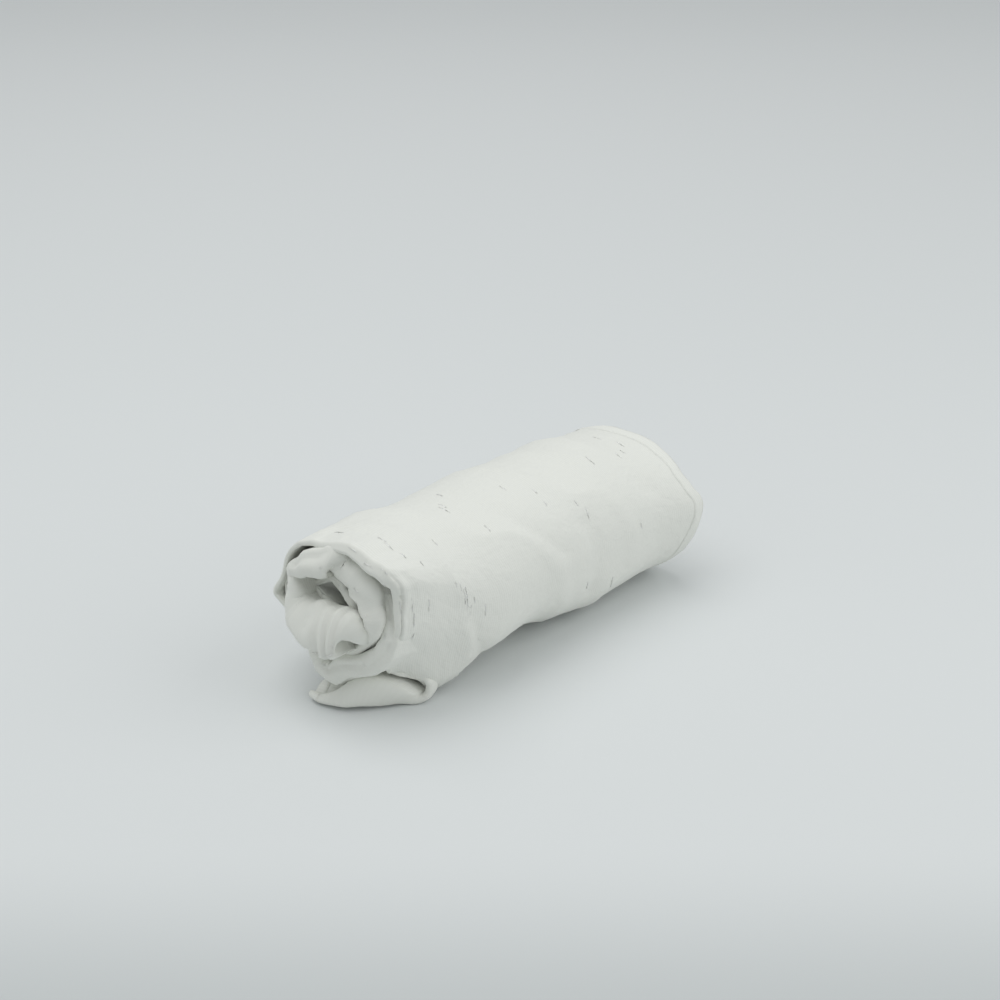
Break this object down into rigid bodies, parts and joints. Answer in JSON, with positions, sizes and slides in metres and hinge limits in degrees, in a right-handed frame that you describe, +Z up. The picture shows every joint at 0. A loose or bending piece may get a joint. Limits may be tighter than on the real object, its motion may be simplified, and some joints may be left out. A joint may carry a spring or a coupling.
{
  "type": "baby wrap sling",
  "caption": "Long light baby wrap sling, doubled along its middle, folded into a soft band and rolled up loosely, with a free tail that lifts where it leaves the roll.",
  "frame": {"origin": "on the flat underside that the roll lies on, straight below the roll's axis, halfway along its length", "axes": "+X along the roll, from its folded end to its hemmed end; +Y towards the side where the tail lies; +Z up"},
  "size_m": [0.2886, 0.1429, 0.1064],
  "materials": {
    "cloth": "loose plain-weave gauze, slightly crinkled, off-white",
    "hem": "the same gauze turned over twice and pressed",
    "thread": "fine spun sewing thread, off-white",
    "metallic_yarn": "flat slit-film metallic yarn, bright"
  },
  "bodies": {
    "roll": {"outer_turn": "cloth", "inner_turn": "cloth", "core_fold": "cloth", "cover_turn": "cloth", "floor_run": "cloth", "cover_left_rail_hem": "hem", "cover_right_rail_hem": "hem", "outer_left_rail_hem": "hem", "outer_right_rail_hem": "hem", "inner_left_rail_hem": "hem", "inner_right_rail_hem": "hem", "inner_end_hem": "hem", "corner_end_hem": "hem", "left_rail_stitching": "thread", "right_rail_stitching": "thread", "metallic_yarns": "metallic_yarn"},
    "tail": {"tail_flap": "cloth", "tail_left_rail_hem": "hem", "tail_right_rail_hem": "hem", "tail_end_hem": "hem", "tail_stitching": "thread", "tail_yarns": "metallic_yarn"}
  },
  "joints": [
    {"name": "tail_lift", "type": "hinge", "parent": "roll", "child": "tail", "pos_m": [0, 0.026, 0.001], "axis": [1, 0, 0], "range_deg": [0, 35]}
  ]
}
